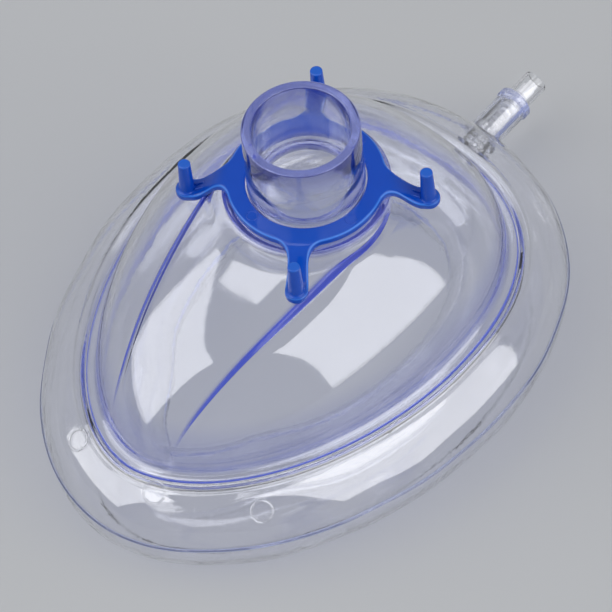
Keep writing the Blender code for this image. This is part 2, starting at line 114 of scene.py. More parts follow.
# Shell
FLANGE_NOSE = 0.0662
FLANGE_CHIN = 0.0449
FLANGE_HALF_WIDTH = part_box("shell")[1].x
FLANGE_WIDEST_Y = -0.0018
FLANGE_NOSE_POWER = 1.83
FLANGE_CHIN_POWER = 2.42
FLANGE_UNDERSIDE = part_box("shell")[0].z
FLANGE_THICKNESS = 0.0015
FLANGE_LEDGE = 0.0023
FLANGE_EDGE_ROUND = 0.0005
DOME_WALL = 0.0016
DOME_FOOT_FILLET = 0.0009
DOME_LINEAR_SHARE = 0.3
DOME_ROUND_POWER = 2.6
CROWN_RADIUS = 0.0190
CROWN_DROP = 0.0050
PANEL_RAISE = 0.0021
PANEL_FADE_POWER = 1.8
NOSE_SWELL = 0.0016
NOSE_SWELL_TURN = 0.9
NOSE_SWELL_RISE = 8
NOSE_SWELL_FALL = 2.2
CREASE_CROWN_HALF = 0.0194
CREASE_NOSE_HALF = 0.0071
CREASE_BEND_POWER = 1.7
CREASE_START = math.radians(70.0)
CREASE_SMOOTHING = 34
CREASE_WIDE = 0.0028
CREASE_NARROW = 0.0005
CREASE_END = 0.058
CONNECTOR_RADIUS = 0.0133
CONNECTOR_MOUTH_RADIUS = 0.01119
CONNECTOR_TAPER = 1.0 / 80.0
CONNECTOR_DEPTH = 0.0190
CONNECTOR_RIM_ROUND = 0.0003
CONNECTOR_COLLAR = 0.009
STOP_RADIUS = 0.0098
STOP_THICKNESS = 0.0022
STOP_ROOT_ROUND = 0.0004
STOP_UNDERSIDE_ROUND = 0.0005
BOSS_SIDE = 0.0012
POCKET_ROUND = 0.0008

# Painted glow: blue painted into the shell's edges, where they pipe the light. Each pair is a strength and
# a reach
FLANGE_PAINTED_GLOW_REACH = FLANGE_EDGE_ROUND / 1.8
LOW_LINE_HEIGHT = 0.003
FOOT_PAINTED_GLOW = 0.2
FOOT_PAINTED_GLOW_START = 0.86
CREASE_PAINTED_GLOW_RISE = 1.7
CREASE_PAINTED_GLOW_FALL = 6
CREASE_GLOW = 0.0012
CREASE_GLOW_POWER = 1.5
CREASE_INNER_END = 0.8
CREASE_INNER_FADE = 0.3
RIM_PAINTED_GLOW = (0.35, 0.0007)
BOSS_PAINTED_GLOW = (0.6, 0.0012)
STOP_PAINTED_GLOW = (0.4, 0.0010)

# Hook ring
RING_THICKNESS = 0.0020
RING_OUTER_RADIUS = 0.01784
RING_EDGE_ROUND = 0.0006
HOOK_COUNT = 4
HOOK_TURN = math.radians(34.0)
ARM_HALF_WIDTH = 0.0023
ARM_ROOT_FILLET = 0.0045
ARM_DROP = 0.0052
ARM_TIP_RADIUS = 0.0026
POST_CIRCLE_RADIUS = 0.0270
POST_TOP_RADIUS = 0.00142
POST_BASE_RADIUS = 0.00175
POST_FOOT_FILLET = 0.0006
POST_TOP_ROUND = 0.0003
POST_DISH = 0.00004
POST_DISH_ROUND = 0.0001
POST_SINK = 0.0001
# Depth below the post tops that the painted highlight reaches
POST_PAINTED_HIGHLIGHT_DEPTH = 0.0005
POST_ROOT = 0.0008
RIB_LENGTH = 0.0021
RIB_HALF_WIDTH = 0.00022
RIB_RISE = 0.00045
RIB_GAP = 0.0007
EJECTOR_RADIUS = 0.00125
EJECTOR_LINE = 0.00022

# Inflation neck and valve
NECK_END = 0.0710
NECK_WALL = 0.0006
NECK_FLARE = 0.0004
NECK_FLARE_LENGTH = 0.0016
NECK_FOOT_FLARE = 0.0008
NECK_FOOT = 0.0022
NECK_OVERLAP = 0.0002
NECK_LIP_ROUND = 0.00025
HOUSING_RADIUS = 0.00295
LUER_MOUTH_RADIUS = 0.00215
LUER_ROOT_RADIUS = 0.0020
SEAT_BORE_RADIUS = 0.0013
SEAT_THICKNESS = 0.0012
CHAMBER_RADIUS = 0.00245
SPRING_LENGTH = 0.0080
SPRING_RADIUS = 0.0016
SPRING_WIRE_RADIUS = 0.00022
SPRING_TURNS = 6
PLUNGER_RECESS = 0.0013
PLUNGER_HEAD_RADIUS = 0.0016
PLUNGER_STUB_RADIUS = 0.0011
PLUNGER_STUB_LENGTH = 0.0016
PLUNGER_HEAD_LENGTH = 0.0045
PLUNGER_STEM_RADIUS = 0.00075
PLUNGER_FOOT_RADIUS = 0.0014
PLUNGER_FOOT_THICKNESS = 0.0008
PLUNGER_TRAVEL = 0.0020
SEAL_THICKNESS = 0.0010
RETAINER_PLUG_LENGTH = 0.0018
RETAINER_CAP_THICKNESS = 0.0010
RETAINER_VENT_RADIUS = 0.0008
PLUNGER_DISH = 0.0002
PLUNGER_ROUND = 0.0002
MOULDED_EDGE = 0.00015

# Fineness of the meshes, as counts of samples, rows and columns
OUTLINE_SAMPLES = 4001
REACH_HALVINGS = 30
CREASE_SAMPLES = 4000
DOME_ROWS = 77
FLANK_COLUMNS = 64
STEP_COLUMNS = 12
PANEL_COLUMNS = 34
FILLET_ROWS = 7
CUSHION_COLUMNS = 288
SHOULDER_ROWS = 5
ARC_ROWS = 40
BEAD_ROWS = 13
SIDE_ROWS = 28
UNDER_ROWS = 24
CREST_ROWS = 26
SPINE_SAMPLES = 2000
TURNED_COLUMNS = 72
RING_POINTS = 16
ROOT_POINTS = 12
ARM_POINTS = 14
PLATE_ROWS = 22
EDGE_ROWS = 7
RIB_ROWS = 9
POST_COLUMNS = 40
EJECTOR_COLUMNS = 36

# The photograph's view, as a long lens from the side of the nose
VIEW_AZIMUTH = math.radians(44.5)
VIEW_ELEVATION = math.radians(53.36)
VIEW_ROLL = math.radians(6.43)
VIEW_DISTANCE = 2.0
VIEW_WIDTH = 0.1357
VIEW_DROP = 0.0285

# Studio. Each softbox has a direction, a width and a height
SOFTBOXES = {
    "nose_softbox": ((-0.45, -0.53, 0.55), 2.0, 2.0),
    "side_softbox": ((0.80, 0.15, 0.58), 2.0, 2.7),
    "top_softbox": ((-0.24, 0.04, 0.95), 0.8, 0.8),
}
SOFTBOX_DISTANCE = 2.0
SOFTBOX_RADIANCE = 1.9
FLOOR_HALF_WIDTH = 4.0
FLOOR_GAP = 0.0001
STUDIO_COLOUR = (0.15, 0.155, 0.165)
BACKDROP_COLOUR = (0.46, 0.47, 0.49)

# Heights and places worked out from the sizes
FLANGE_TOP = FLANGE_UNDERSIDE + FLANGE_THICKNESS
DOME_FOOT = FLANGE_TOP + DOME_FOOT_FILLET
RING_UNDERSIDE = RING_TOP - RING_THICKNESS
BOSS_TOP = RING_UNDERSIDE - CLEARANCE
CROWN_EDGE = BOSS_TOP - CROWN_DROP
CUSHION_SEAT = FLANGE_UNDERSIDE - CLEARANCE
SEAT_TOP = VALVE_TIP - PLUNGER_RECESS - PLUNGER_HEAD_LENGTH - PLUNGER_TRAVEL - CLEARANCE
SEAT_UNDERSIDE = SEAT_TOP - SEAT_THICKNESS
SEAL_TOP = SEAT_UNDERSIDE - CLEARANCE
FOOT_TOP = SEAL_TOP - SEAL_THICKNESS - CLEARANCE
SPRING_TOP = FOOT_TOP - PLUNGER_FOOT_THICKNESS - CLEARANCE
RETAINER_PLUG_TOP = SPRING_TOP - SPRING_LENGTH - CLEARANCE
HOUSING_END = RETAINER_PLUG_TOP - RETAINER_PLUG_LENGTH
RETAINER_CAP_TOP = HOUSING_END - CLEARANCE


# Meshes


def add_piece(name, mesh, material):
    """Link a mesh as a piece whose object stays at the origin."""
    mesh.materials.clear()
    mesh.materials.append(material)
    piece = bpy.data.objects.new(name, mesh)
    bpy.context.scene.collection.objects.link(piece)
    return piece


def skin(name, rows, joined=True, tint=None):
    """Quads over rows of points. Each row is a closed loop; the rows join up, or get end caps."""
    rows = np.asarray(rows)
    count, width = rows.shape[:2]
    corner = np.arange(count * width).reshape(count, width)
    upper = np.roll(corner, -1, axis=0)
    stop = count if joined else count - 1
    corners = np.stack(
        [corner, upper, np.roll(upper, -1, axis=1), np.roll(corner, -1, axis=1)], axis=-1
    )
    faces = corners[:stop].reshape(-1, 4).tolist()
    if not joined:
        faces.append(corner[0].tolist())
        faces.append(corner[-1][::-1].tolist())
    mesh = bpy.data.meshes.new(name)
    mesh.from_pydata(rows.reshape(-1, 3).tolist(), [], faces)
    # Each point's share of painted light: the shell's painted glow and the ring's painted highlight
    if tint is not None:
        values = mesh.attributes.new("tint", "FLOAT", "POINT").data
        values.foreach_set("value", np.asarray(tint, dtype=np.float32).ravel())
    mesh.shade_smooth()
    return mesh


def rounded(corners, steps=5):
    """Profile through (across, height, round) corners, each cut back to an arc of its round."""
    points = []
    for index, (across, height, radius) in enumerate(corners):
        here = np.array((across, height))
        if radius == 0:
            points.append(here)
            continue
        before = unit(corners[index - 1][:2] - here)
        after = unit(corners[(index + 1) % len(corners)][:2] - here)
        half = math.acos(np.clip(before @ after, -1, 1)) / 2
        centre = here + unit(before + after) * radius / math.sin(half)
        start = here + before * radius / math.tan(half) - centre
        end = here + after * radius / math.tan(half) - centre
        first = math.atan2(start[1], start[0])
        sweep = (math.atan2(end[1], end[0]) - first + math.pi) % (2 * math.pi) - math.pi
        for step in range(steps + 1):
            angle = first + sweep * step / steps
            points.append(centre + radius * np.array((math.cos(angle), math.sin(angle))))
    return np.array(points)


def settled(piece):
    """Apply what an object's modifiers make, as a plain mesh."""
    graph = bpy.context.evaluated_depsgraph_get()
    mesh = bpy.data.meshes.new_from_object(piece.evaluated_get(graph))
    piece.modifiers.clear()
    piece.data = mesh
    return piece


def circle_row(radius, height, turns):
    return np.stack(
        [radius * np.sin(turns), AXIS_Y + radius * np.cos(turns), np.full_like(turns, height)],
        axis=-1,
    )


def raised_to(points, height):
    """Plan points, measured from the connector's axis, set at a height."""
    heights = np.broadcast_to(height, points.shape[:-1])
    return np.stack([points[..., 0], points[..., 1] + AXIS_Y, heights], axis=-1)


def unit(vectors):
    return vectors / np.linalg.norm(vectors, axis=-1, keepdims=True)


def smooth_step(share):
    share = np.clip(share, 0, 1)
    return share * share * (3 - 2 * share)


class Egg:
    """Plan outline with one rounded end towards the chin and one towards the nose."""

    def __init__(self, nose, chin, half_width, widest_y, nose_power, chin_power):
        self.lengths = nose + widest_y, chin - widest_y
        self.powers = nose_power, chin_power
        self.half_width = half_width
        self.widest_y = widest_y

    def ends(self, towards_chin):
        length = np.where(towards_chin, self.lengths[1], self.lengths[0])
        power = np.where(towards_chin, self.powers[1], self.powers[0])
        return length, power

    def point(self, turns):
        across, along = np.sin(turns), np.cos(turns)
        length, power = self.ends(along >= 0)
        x = self.half_width * np.sign(across) * np.abs(across) ** (2 / power)
        y = self.widest_y + length * np.sign(along) * np.abs(along) ** (2 / power)
        return np.stack([x, y], axis=-1)

    def normal(self, turns, small=0.02):
        along = self.point(turns + small) - self.point(turns - small)
        return unit(np.stack([-along[..., 1], along[..., 0]], axis=-1))

    def even_turns(self, count):
        """Turns whose points lie at even distances along the outline, from the chin round."""
        fine = np.linspace(0, 2 * math.pi, OUTLINE_SAMPLES)
        points = self.point(fine)
        run = np.concatenate([[0], np.cumsum(np.linalg.norm(np.diff(points, axis=0), axis=1))])
        return np.interp(np.arange(count) / count * run[-1], run, fine)

    def reach(self, starts, directions):
        """Signed distance from points to this outline along directions that lead outwards."""
        near = np.full(len(starts), -CUSHION_RADIUS)
        far = np.full(len(starts), CUSHION_RADIUS)
        for _ in range(REACH_HALVINGS):
            middle = (near + far) / 2
            points = starts + directions * middle[:, None]
            length, power = self.ends(points[:, 1] >= self.widest_y)
            across = np.abs(points[:, 0]) / self.half_width
            lengthwise = np.abs(points[:, 1] - self.widest_y) / length
            inside = across ** power + lengthwise ** power < 1
            near = np.where(inside, middle, near)
            far = np.where(inside, far, middle)
        return near


FLANGE = Egg(
    FLANGE_NOSE,
    FLANGE_CHIN,
    FLANGE_HALF_WIDTH,
    FLANGE_WIDEST_Y,
    FLANGE_NOSE_POWER,
    FLANGE_CHIN_POWER,
)
SPINE = Egg(
    CUSHION_NOSE - CUSHION_RADIUS,
    CUSHION_CHIN - CUSHION_RADIUS,
    CUSHION_HALF_WIDTH - CUSHION_RADIUS,
    CUSHION_WIDEST_Y,
    CUSHION_NOSE_POWER,
    CUSHION_CHIN_POWER,
)


# Node trees


class Value:
    """A socket that can be used in plain arithmetic."""

    def __init__(self, nodes, socket):
        self.nodes = nodes
        self.socket = socket

    def result_of(self, operation, first, second=0.0):
        return self.nodes.node("ShaderNodeMath", {"operation": operation}, {0: first, 1: second})

    def __add__(self, other):
        return self.result_of("ADD", self, other)

    __radd__ = __add__

    def __sub__(self, other):
        return self.result_of("SUBTRACT", self, other)

    def __rsub__(self, other):
        return self.result_of("SUBTRACT", other, self)

    def __mul__(self, other):
        return self.result_of("MULTIPLY", self, other)

    __rmul__ = __mul__

    def __truediv__(self, other):
        return self.result_of("DIVIDE", self, other)

    def __rtruediv__(self, other):
        return self.result_of("DIVIDE", other, self)

    def or_more(self, other):
        return self.result_of("MAXIMUM", self, other)

    def exp(self):
        return self.result_of("EXPONENT", self)


class Nodes:
    """A node tree that is built by calls."""

    own_kind = "ShaderNode"

    def __init__(self, tree):
        self.tree = tree

    def node(self, kind, settings=None, sockets=None, out=0):
        """Add a node and return one of its outputs. A short type is one of the tree's own kind."""
        made = self.tree.nodes.new(kind if "Node" in kind else self.own_kind + kind)
        for key, value in (settings or {}).items():
            setattr(made, key, value)
        for key, value in (sockets or {}).items():
            socket = made.inputs[key]
            if isinstance(value, Value):
                self.tree.links.new(value.socket, socket)
            else:
                socket.default_value = (*value, 1.0) if socket.type == "RGBA" else value
        return Value(self, made.outputs[out])

    def blend(self, factor, first, second):
        """Colour between two colours."""
        sockets = {0: factor, 6: first, 7: second}
        return self.node("Mix", {"data_type": "RGBA"}, sockets, out=2)


class Growth(Nodes):
    """A Geometry Nodes tree that is turned into a plain mesh."""

    own_kind = "GeometryNode"

    def __init__(self, name, sizes):
        super().__init__(bpy.data.node_groups.new(name, "GeometryNodeTree"))
        self.name = name
        self.sizes = {}
        face = self.tree.interface
        face.new_socket("Geometry", in_out="INPUT", socket_type="NodeSocketGeometry")
        for title, value in sizes.items():
            kind = "NodeSocketInt" if isinstance(value, int) else "NodeSocketFloat"
            socket = face.new_socket(title, in_out="INPUT", socket_type=kind)
            self.sizes[socket.identifier] = value
        face.new_socket("Geometry", in_out="OUTPUT", socket_type="NodeSocketGeometry")
        self.start = self.tree.nodes.new("NodeGroupInput")

    def size(self, title):
        return Value(self, self.start.outputs[title])

    def seeds(self):
        """The mesh that the tree starts from."""
        return self.size("Geometry")

    def circle(self, size, resolution):
        sockets = {"Resolution": resolution, "Radius": self.size(size)}
        return self.node("CurvePrimitiveCircle", sockets=sockets)

    def wire(self, path, size, resolution):
        """Round wire along a curve, with its ends closed."""
        sockets = {"Curve": path, "Profile Curve": self.circle(size, resolution), "Fill Caps": True}
        return self.node("CurveToMesh", sockets=sockets)

    def copies(self, points, instance, rotation):
        sockets = {"Points": points, "Instance": instance, "Rotation": rotation}
        return self.node("InstanceOnPoints", sockets=sockets)

    def moved(self, geometry, x=0.0, y=0.0, z=0.0, turn=(0.0, 0.0, 0.0)):
        """Geometry turned about the origin and then moved."""
        place = self.node("ShaderNodeCombineXYZ", sockets={"X": x, "Y": y, "Z": z})
        sockets = {"Geometry": geometry, "Translation": place, "Rotation": turn}
        return self.node("Transform", sockets=sockets)

    def grow(self, geometry, material, seed_mesh=None):
        """Finish the tree on its last socket and return the piece that it makes."""
        real = self.node("RealizeInstances", sockets={"Geometry": geometry})
        smooth = self.node("SetShadeSmooth", sockets={"Geometry": real})
        dressed = self.node("SetMaterial", sockets={"Geometry": smooth, "Material": material})
        end = self.tree.nodes.new("NodeGroupOutput")
        self.tree.links.new(dressed.socket, end.inputs[0])
        piece = add_piece(self.name, seed_mesh or bpy.data.meshes.new(self.name), material)
        modifier = piece.modifiers.new("growth", "NODES")
        modifier.node_group = self.tree
        for identifier, value in self.sizes.items():
            modifier[identifier] = value
        return settled(piece)


class Finish(Nodes):
    """One material and the nodes that make it."""

    def __init__(self, name):
        self.material = bpy.data.materials.new(name)
        self.material.use_nodes = True
        super().__init__(self.material.node_tree)
        self.tree.nodes.clear()
        self.place = self.node("TexCoord", out="Object")

    def coordinate(self, axis):
        """Place along X, Y or Z, as axis 0, 1 or 2."""
        return self.node("SeparateXYZ", sockets={0: self.place}, out=axis)

    # Share of painted light at each point, read from the mesh's attribute
    def tint(self):
        return self.node("Attribute", {"attribute_name": "tint"}, out="Fac")

    def ramp(self, value, start, end):
        """0 where a value is at the start, 1 where it is at the end, and even between."""
        return self.node("MapRange", sockets={0: value, 1: start, 2: end})

    def noise(self, scale, detail=2.0):
        sockets = {"Vector": self.place, "Scale": scale, "Detail": detail}
        return self.node("TexNoise", sockets=sockets)

    def bump(self, height, strength, distance):
        sockets = {"Height": height, "Strength": strength, "Distance": distance}
        return self.node("Bump", sockets=sockets)

    def surface(self, shader, volume=None):
        output = self.tree.nodes.new("ShaderNodeOutputMaterial")
        self.tree.links.new(shader.socket, output.inputs["Surface"])
        if volume:
            self.tree.links.new(volume.socket, output.inputs["Volume"])
        return self.material


# Shell: flange, dome with two creases, boss and connector


def flange_row(turns, inset, height):
    return raised_to(FLANGE.point(turns) - FLANGE.normal(turns) * inset, height)


def dome_skin(share, turns):
    """Row of the dome at a share of the way from the round crown to the egg-shaped foot."""
    share = min(max(share, 0.0), 1.0)
    crown = circle_row(CROWN_RADIUS, 0, turns)
    foot = flange_row(turns, FLANGE_LEDGE, 0)
    round_part = 1 - math.sqrt(max(0.0, 1 - share ** DOME_ROUND_POWER))
    drop = DOME_LINEAR_SHARE * share + (1 - DOME_LINEAR_SHARE) * round_part
    row = crown + (foot - crown) * share
    row[:, 2] = CROWN_EDGE + (DOME_FOOT - CROWN_EDGE) * drop
    return row


def dome_inside(share, turns, small=0.01):
    down = dome_skin(share + small, turns) - dome_skin(share - small, turns)
    around = dome_skin(share, turns + small) - dome_skin(share, turns - small)
    outward = np.cross(around, down)
    if share == 1.0:
        outward[:, 2] = 0
    return dome_skin(share, turns) - unit(outward) * DOME_WALL


def crease_turn(share):
    """Turn at which a row of the dome meets the crease between the side and the nose panel."""
    turns = np.linspace(CREASE_START, math.pi, CREASE_SAMPLES)
    row = dome_skin(share, turns)
    along = AXIS_Y - row[:, 1]
    fade = (np.maximum(0, along) / FLANGE_NOSE) ** CREASE_BEND_POWER
    half = CREASE_CROWN_HALF + (CREASE_NOSE_HALF - CREASE_CROWN_HALF) * fade
    start_x = CROWN_RADIUS * math.sin(CREASE_START)
    start_along = -CROWN_RADIUS * math.cos(CREASE_START)
    tangent = start_x + (along - start_along) / math.tan(CREASE_START)
    line = np.where(along < start_along - CLEARANCE, -np.inf, np.minimum(half, tangent))
    return turns[np.nonzero(row[:, 0] <= line + CLEARANCE / 100)[0][0]]


def crease_path():
    """The crease's turn at each row of the dome, with its corner at the boss smoothed away."""
    turns = np.array([crease_turn(share) for share in DOME_SHARES])
    for _ in range(CREASE_SMOOTHING):
        turns[1:-1] = (turns[:-2] + 2 * turns[1:-1] + turns[2:]) / 4
    return turns


def crease_width(along):
    """Width of the crease's step at a distance from the connector's axis towards the nose."""
    fade = np.clip((along + CROWN_RADIUS / 3) / (CREASE_END + CROWN_RADIUS / 3), 0, 1)
    return CREASE_WIDE + (CREASE_NARROW - CREASE_WIDE) * fade


def panel_height(share, turns, up):
    """How far the nose half stands above the plain dome: a soft swell, and the panel's own step."""
    towards_nose = smooth_step(0.5 - NOSE_SWELL_TURN * np.cos(turns))
    between = smooth_step(share * NOSE_SWELL_RISE) * smooth_step((1 - share) * NOSE_SWELL_FALL)
    panel = PANEL_RAISE * (1 - share) ** PANEL_FADE_POWER * smooth_step(up)
    return NOSE_SWELL * between * towards_nose + panel


DOME_SHARES = smooth_step(np.linspace(0, 1, DOME_ROWS))
CREASE_TURNS = crease_path()


def dome_columns(share, shift=0.0):
    """Turns of one row, and how far up the raised panel each column stands, from 0 to 1."""
    crease = float(np.interp(share, DOME_SHARES, CREASE_TURNS))
    place = dome_skin(share, np.array([crease]))[0][:2] - (0, AXIS_Y)
    reach = np.linalg.norm(place)
    crease += shift / reach
    half_ramp = crease_width(-place[1]) / 2 / reach
    up = np.linspace(0, 1, STEP_COLUMNS + 1)
    turns = np.concatenate([
        np.linspace(0, crease - half_ramp, FLANK_COLUMNS, endpoint=False),
        crease - half_ramp + 2 * half_ramp * up,
        np.linspace(crease + half_ramp, math.pi, PANEL_COLUMNS + 1)[1:],
    ])
    rise = np.concatenate([np.zeros(FLANK_COLUMNS), up, np.ones(PANEL_COLUMNS)])
    mirrored = 2 * math.pi - turns[-2:0:-1]
    return np.concatenate([turns, mirrored]), np.concatenate([rise, rise[-2:0:-1]])


def painted_glow_near(distance, painted_glow):
    """Strength of the painted blue glow at a distance from an edge, from the edge's strength and reach."""
    strength, reach = painted_glow
    return strength * math.exp(-((distance / reach) ** 2))


def step_painted_glow(up):
    return np.minimum(1, CREASE_PAINTED_GLOW_RISE * np.sin(math.pi * up))


def crease_painted_glow(share, up, points, inside):
    """Strength of the painted blue glow along the creases, strongest on the step and soft on the panel."""
    if inside:
        return step_painted_glow(up) * np.clip((CREASE_INNER_END - share) / CREASE_INNER_FADE, 0, 1)
    edge = points[np.argmax(up == 1)]
    beside = np.linalg.norm(points - edge, axis=1)
    beside_mirror = np.linalg.norm(points - edge * (-1, 1, 1), axis=1)
    off_edge = np.where(up < 1, 0, np.minimum(beside, beside_mirror))
    painted_glow = CREASE_GLOW * (1 - share) ** CREASE_GLOW_POWER + CREASE_NARROW
    ending = min(1, CREASE_PAINTED_GLOW_FALL * (1 - share))
    return step_painted_glow(np.minimum(up, 0.5)) * np.exp(-((off_edge / painted_glow) ** 2)) * ending


def flange_rows(turns):
    """Rows from the flange's underside to the fillet at the dome's foot, with their painted glow."""
    yield flange_row(turns, FLANGE_EDGE_ROUND, FLANGE_UNDERSIDE), 0.0
    outside = rounded([
        (0, FLANGE_UNDERSIDE, 0),
        (0, FLANGE_TOP, FLANGE_EDGE_ROUND),
        (FLANGE_LEDGE - DOME_FOOT_FILLET, FLANGE_TOP, 0),
    ])
    for inset, height in outside:
        yield flange_row(turns, inset, height), painted_glow_near(inset, (1.0, FLANGE_PAINTED_GLOW_REACH))
    for step in range(1, FILLET_ROWS):
        angle = math.pi / 2 * step / FILLET_ROWS
        inset = FLANGE_LEDGE - DOME_FOOT_FILLET * (1 - math.sin(angle))
        height = FLANGE_TOP + DOME_FOOT_FILLET * (1 - math.cos(angle))
        yield flange_row(turns, inset, height), FOOT_PAINTED_GLOW * step / FILLET_ROWS


def dome_rows():
    """Rows of the dome's outside, from its foot up to the crown, with their painted glow."""
    for share in DOME_SHARES[::-1]:
        turns, up = dome_columns(share)
        row = dome_skin(share, turns)
        row[:, 2] += panel_height(share, turns, up)
        # Painted glow at the dome's foot and along the creases
        at_foot = FOOT_PAINTED_GLOW * smooth_step((share - FOOT_PAINTED_GLOW_START) / (1 - FOOT_PAINTED_GLOW_START))
        yield row, np.maximum(at_foot, crease_painted_glow(share, up, row, inside=False))


def connector_rows(turns):
    """Rows of the boss, the connector and its stop, over the rim and down to the pocket below."""
    stop_top = RIM_Z - CONNECTOR_DEPTH
    stop_bore = CONNECTOR_MOUTH_RADIUS - CONNECTOR_TAPER * CONNECTOR_DEPTH
    round_edge = CONNECTOR_RIM_ROUND
    pocket_radius = CROWN_RADIUS - DOME_WALL
    profile = rounded([
        (CROWN_RADIUS, BOSS_TOP - BOSS_SIDE, 0),
        (CROWN_RADIUS, BOSS_TOP, round_edge),
        (CONNECTOR_RADIUS, BOSS_TOP, round_edge),
        (CONNECTOR_RADIUS, RIM_Z - CONNECTOR_COLLAR, 0),
        (CONNECTOR_RADIUS, RIM_Z, round_edge),
        (CONNECTOR_MOUTH_RADIUS, RIM_Z, round_edge),
        ((CONNECTOR_MOUTH_RADIUS + stop_bore) / 2, RIM_Z - CONNECTOR_DEPTH / 2, 0),
        (stop_bore, stop_top, STOP_ROOT_ROUND),
        (STOP_RADIUS, stop_top, round_edge),
        (STOP_RADIUS, stop_top - STOP_THICKNESS, STOP_UNDERSIDE_ROUND),
        (pocket_radius, BOSS_TOP - DOME_WALL, POCKET_ROUND),
        (pocket_radius, CROWN_EDGE - DOME_WALL, 0),
    ])
    for radius, height in profile[:-1]:
        # Painted glow near the rim, the boss and the stop
        at_rim = painted_glow_near(RIM_Z - height, RIM_PAINTED_GLOW)
        at_boss = painted_glow_near(math.hypot(radius - CROWN_RADIUS, height - BOSS_TOP), BOSS_PAINTED_GLOW)
        at_stop = painted_glow_near(math.hypot(radius - STOP_RADIUS, height - stop_top), STOP_PAINTED_GLOW)
        yield circle_row(radius, height, turns), max(at_rim, at_boss, at_stop)


def inner_rows():
    """Rows of the dome's inside, from the crown down to the flange's underside, with their painted glow.
    """
    for share in DOME_SHARES:
        turns, up = dome_columns(share, shift=DOME_WALL * 0.7)
        row = dome_inside(share, turns)
        row[:, 2] += panel_height(share, turns, up)
        yield row, crease_painted_glow(share, up, row, inside=True)
    foot = row.copy()
    foot[:, 2] = FLANGE_UNDERSIDE
    yield foot, 0.0


def make_shell():
    rows = [
        *flange_rows(dome_columns(1.0)[0]),
        *dome_rows(),
        *connector_rows(dome_columns(0.0)[0]),
        *inner_rows(),
    ]
    points = [row for row, _ in rows]
    # Each row's painted glow goes onto its points
    painted_lights = [np.broadcast_to(tint, len(row)) for row, tint in rows]
    return add_piece("shell_skin", skin("shell_skin", points, tint=painted_lights), clear_shell())


# Air cushion


def lip_bulge(turns):
    """How far the inner wall leans in beside the nose, and back at the tip of the nose."""
    from_nose = np.abs((turns % (2 * math.pi)) - math.pi)
    beside = np.exp(-(((from_nose - LIP_BULGE_TURN) / LIP_BULGE_SPREAD) ** 2))
    tip = np.exp(-((from_nose / LIP_BULGE_SPREAD) ** 2))
    return LIP_BULGE * beside - LIP_NOSE_PULL * tip


def cushion_rows(film, outside):
    """Closed sections along the spine: seat, shoulder, outer arc, underside and inner arc."""
    turns = SPINE.even_turns(CUSHION_COLUMNS)
    centres = SPINE.point(turns)
    outwards = SPINE.normal(turns)
    radius = CUSHION_RADIUS - film
    seat = CUSHION_SEAT - film
    step = FLANGE.reach(centres, outwards) + CLEARANCE + film
    land = math.asin((VALVE_Z - film) / radius)
    lip = radius + lip_bulge(turns)
    offsets = []
    heights = []

    def add(offset, height):
        offsets.append(np.broadcast_to(offset, CUSHION_COLUMNS))
        heights.append(np.broadcast_to(height, CUSHION_COLUMNS))

    inner_seat = step - SEAT_WIDTH
    for share in (0.0, 0.25, 0.5, 0.75, 1.0):
        add(inner_seat + (step - inner_seat) * share, seat)
    shoulder = SHOULDER_ROUND
    arc_start = np.arccos((step + shoulder) / radius)
    arc_top = VALVE_Z + radius * np.sin(arc_start)
    for angle in np.linspace(math.pi, math.pi / 2, SHOULDER_ROWS):
        add(step + shoulder * (1 + math.cos(angle)), arc_top - shoulder * (1 - math.sin(angle)))

    bead_angle = math.asin((BEAD_Z - VALVE_Z) / CUSHION_RADIUS)
    for share in np.linspace(0, 1, ARC_ROWS)[1:]:
        angle = arc_start + (bead_angle + BEAD_APPROACH - arc_start) * share
        add(*outer_arc(radius, angle, step, outside))
    for offset in np.linspace(BEAD_SPAN, -BEAD_SPAN, BEAD_ROWS if outside else 3):
        add(*outer_arc(radius, bead_angle + offset, step, outside))
    for angle in np.linspace(bead_angle - BEAD_APPROACH, -land, SIDE_ROWS)[1:]:
        add(*outer_arc(radius, angle, step, outside))

    for share in (0.3, 0.5, 0.7):
        add(radius * math.cos(land) * (1 - 2 * share), film)
    for angle in np.linspace(land - math.pi, UNDER_END - math.pi, UNDER_ROWS):
        add(lip * math.cos(angle), VALVE_Z + radius * math.sin(angle))
    if outside:
        flash = flash_length()
        for share, lift in FLASH_PROFILE:
            add(-lip - flash * share, VALVE_Z - lift)
    for angle in np.linspace(CREST_START, math.pi / 2, CREST_ROWS)[:-1]:
        reach = (lip + inner_seat) * math.cos(angle)
        add(inner_seat - reach, VALVE_Z + (seat - VALVE_Z) * math.sin(angle))

    plan = centres[:, None] + outwards[:, None] * np.stack(offsets, axis=1)[..., None]
    return raised_to(plan, np.stack(heights, axis=1))


def outer_arc(radius, angle, step, outside):
    """Offset and height of a line of the outer arc, with the film's waves, its bead and the groove."""
    around = np.arange(CUSHION_COLUMNS) / CUSHION_COLUMNS * 2 * math.pi
    wave = sum(size * np.sin(folds * around + lean * angle + start) for size, folds, lean, start in WAVES)
    swell = radius + WAVE_RISE * wave * np.clip(np.cos(angle), 0, 1)
    if outside:
        height = VALVE_Z + radius * np.sin(angle)
        swell = swell + BEAD_RISE * np.exp(-(((height - BEAD_Z) / BEAD_HALF_WIDTH) ** 2))
        from_groove = radius * np.cos(angle) - step - GROOVE_FROM_FLANGE
        swell = swell - GROOVE_DEPTH * np.exp(-((from_groove / GROOVE_HALF_WIDTH) ** 2))
    floor = CUSHION_RADIUS - radius
    return swell * np.cos(angle), np.maximum(floor, VALVE_Z + swell * np.sin(angle))


